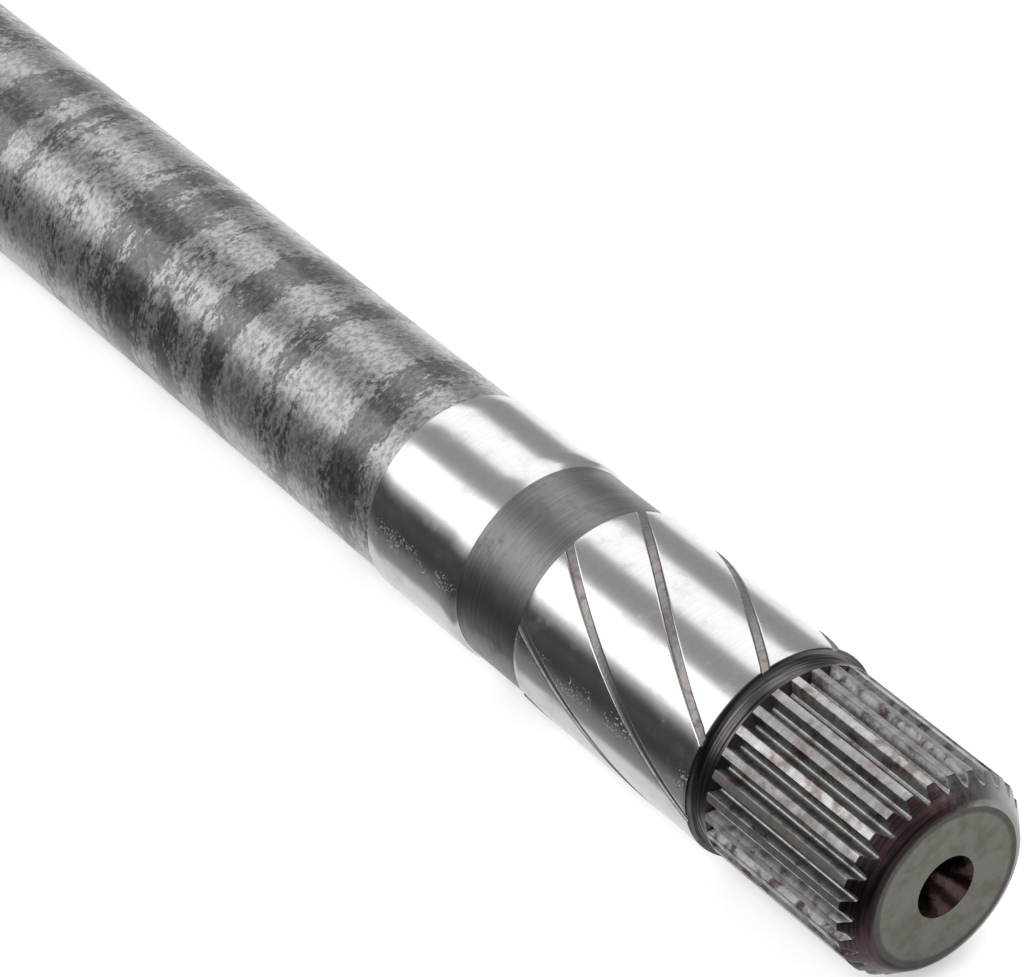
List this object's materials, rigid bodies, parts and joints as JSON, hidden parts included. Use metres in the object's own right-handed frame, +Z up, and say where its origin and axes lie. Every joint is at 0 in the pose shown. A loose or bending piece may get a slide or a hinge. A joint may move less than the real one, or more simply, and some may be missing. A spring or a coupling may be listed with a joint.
{
  "type": "splined shaft",
  "caption": "Long round steel shaft with an involute spline at one end, an oil-grooved ground journal, a turned recess and a ground seat ahead of a plain rough shank.",
  "frame": {"origin": "on the shaft's axis, at the middle of the oil-grooved journal", "axes": "+X along the shaft's axis and out of the splined end, +Z up as the shaft lies"},
  "size_m": [0.38, 0.038, 0.0382],
  "materials": {
    "shaft_steel": "turned and ground steel, with a dark mottled heat-treated shank"
  },
  "bodies": {
    "root": {"splined_shaft": "shaft_steel"}
  },
  "joints": []
}
